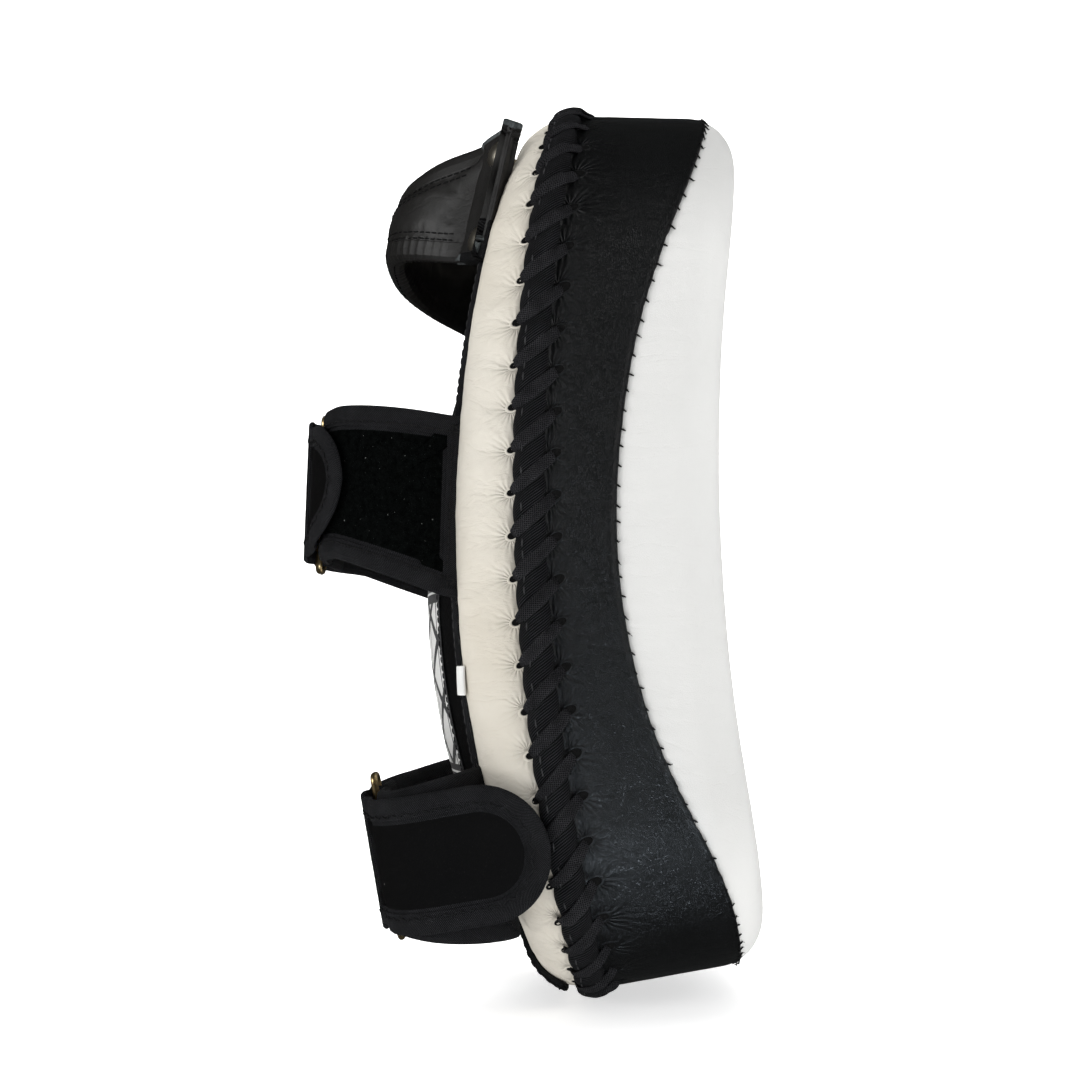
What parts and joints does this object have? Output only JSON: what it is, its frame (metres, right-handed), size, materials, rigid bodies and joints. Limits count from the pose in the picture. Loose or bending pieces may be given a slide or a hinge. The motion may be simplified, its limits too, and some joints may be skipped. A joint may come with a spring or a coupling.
{
  "type": "curved kick pad",
  "caption": "Curved forearm pad for kick and punch training: laced leather body over layered foam, riveted hand grip, hook-and-loop forearm straps with metal loops.",
  "frame": {"origin": "on the axis of the forearm channel, between the arm bed and the straps, midway along the pad", "axes": "+X the way the striking face looks, +Y across the pad, +Z along the pad from the elbow end to the hand grip"},
  "size_m": [0.201, 0.2061, 0.396],
  "materials": {
    "front_leather": "smooth pale leather, satin",
    "back_leather": "soft cream leather, satin",
    "black_leather": "black leather, satin with a fine grain",
    "bed_leather": "matte black leather",
    "raw_leather": "raw cut leather edge, grey-green",
    "lace_cord": "flat woven black cord",
    "twill_binding": "black twill binding tape",
    "webbing": "black woven webbing",
    "thread": "black waxed thread",
    "soft_foam": "soft open foam",
    "core_foam": "medium closed-cell foam",
    "firm_foam": "firm closed-cell foam",
    "stiff_sheet": "thin stiff sheet",
    "loop_fabric": "matte black hook-and-loop pile",
    "hook_fabric": "black hook tape",
    "strap_lining": "black padded lining",
    "tab_face": "matte black foam-backed cloth",
    "woven_label": "woven band, pale with dark lines",
    "tag_tape": "white folded tape",
    "rivet_metal": "aged nickel-plated brass",
    "loop_metal": "polished brass wire"
  },
  "bodies": {
    "pad": {"arm_bed_binding": "twill_binding", "arm_bed_cover": "bed_leather", "arm_bed_foam": "soft_foam", "arm_bed_label": "woven_label", "arm_bed_tongue": "bed_leather", "back_foam": "core_foam", "back_panel": "back_leather", "core_foam": "core_foam", "firm_foam": "firm_foam", "front_panel": "front_leather", "grip_cover": "black_leather", "grip_edge_high": "twill_binding", "grip_edge_low": "twill_binding", "grip_foam": "soft_foam", "grip_lining": "bed_leather", "grip_patches": "raw_leather", "grip_rivets": "rivet_metal", "grip_tape": "webbing", "grip_washers": "rivet_metal", "impact_foam": "soft_foam", "lace_cord": "lace_cord", "lace_core": "twill_binding", "lower_keeper": "strap_lining", "lower_keeper_leg": "strap_lining", "lower_keeper_tape": "twill_binding", "lower_strap_face": "loop_fabric", "lower_strap_fold": "strap_lining", "lower_strap_lining": "strap_lining", "lower_strap_tape": "twill_binding", "seam_stitching": "thread", "side_gusset": "black_leather", "side_tag": "tag_tape", "spreader_sheet": "stiff_sheet", "upper_keeper": "strap_lining", "upper_keeper_leg": "strap_lining", "upper_keeper_tape": "twill_binding", "upper_strap_face": "loop_fabric", "upper_strap_fold": "strap_lining", "upper_strap_lining": "strap_lining", "upper_strap_tape": "twill_binding"},
    "upper_tab": {"upper_tab_cover": "tab_face", "upper_tab_hook": "hook_fabric", "upper_tab_tape": "twill_binding"},
    "upper_ring": {"upper_loop": "loop_metal"},
    "lower_tab": {"lower_tab_cover": "tab_face", "lower_tab_hook": "hook_fabric", "lower_tab_tape": "twill_binding"},
    "lower_ring": {"lower_loop": "loop_metal"}
  },
  "joints": [
    {"name": "upper_tab_peel", "type": "hinge", "parent": "pad", "child": "upper_tab", "pos_m": [-0.01818, -0.014, 0.03034], "axis": [-0.0698, 0, -0.9976], "range_deg": [0, 80]},
    {"name": "upper_ring_swivel", "type": "hinge", "parent": "pad", "child": "upper_ring", "pos_m": [-0.01818, -0.001, 0.03034], "axis": [0.0698, 0, 0.9976], "range_deg": [-4, 4]},
    {"name": "lower_tab_peel", "type": "hinge", "parent": "pad", "child": "lower_tab", "pos_m": [0.0084, -0.036, -0.13184], "axis": [0.1392, 0, -0.9903], "range_deg": [0, 80]},
    {"name": "lower_ring_swivel", "type": "hinge", "parent": "pad", "child": "lower_ring", "pos_m": [0.0084, -0.023, -0.13184], "axis": [-0.1392, 0, 0.9903], "range_deg": [-4, 4]}
  ]
}
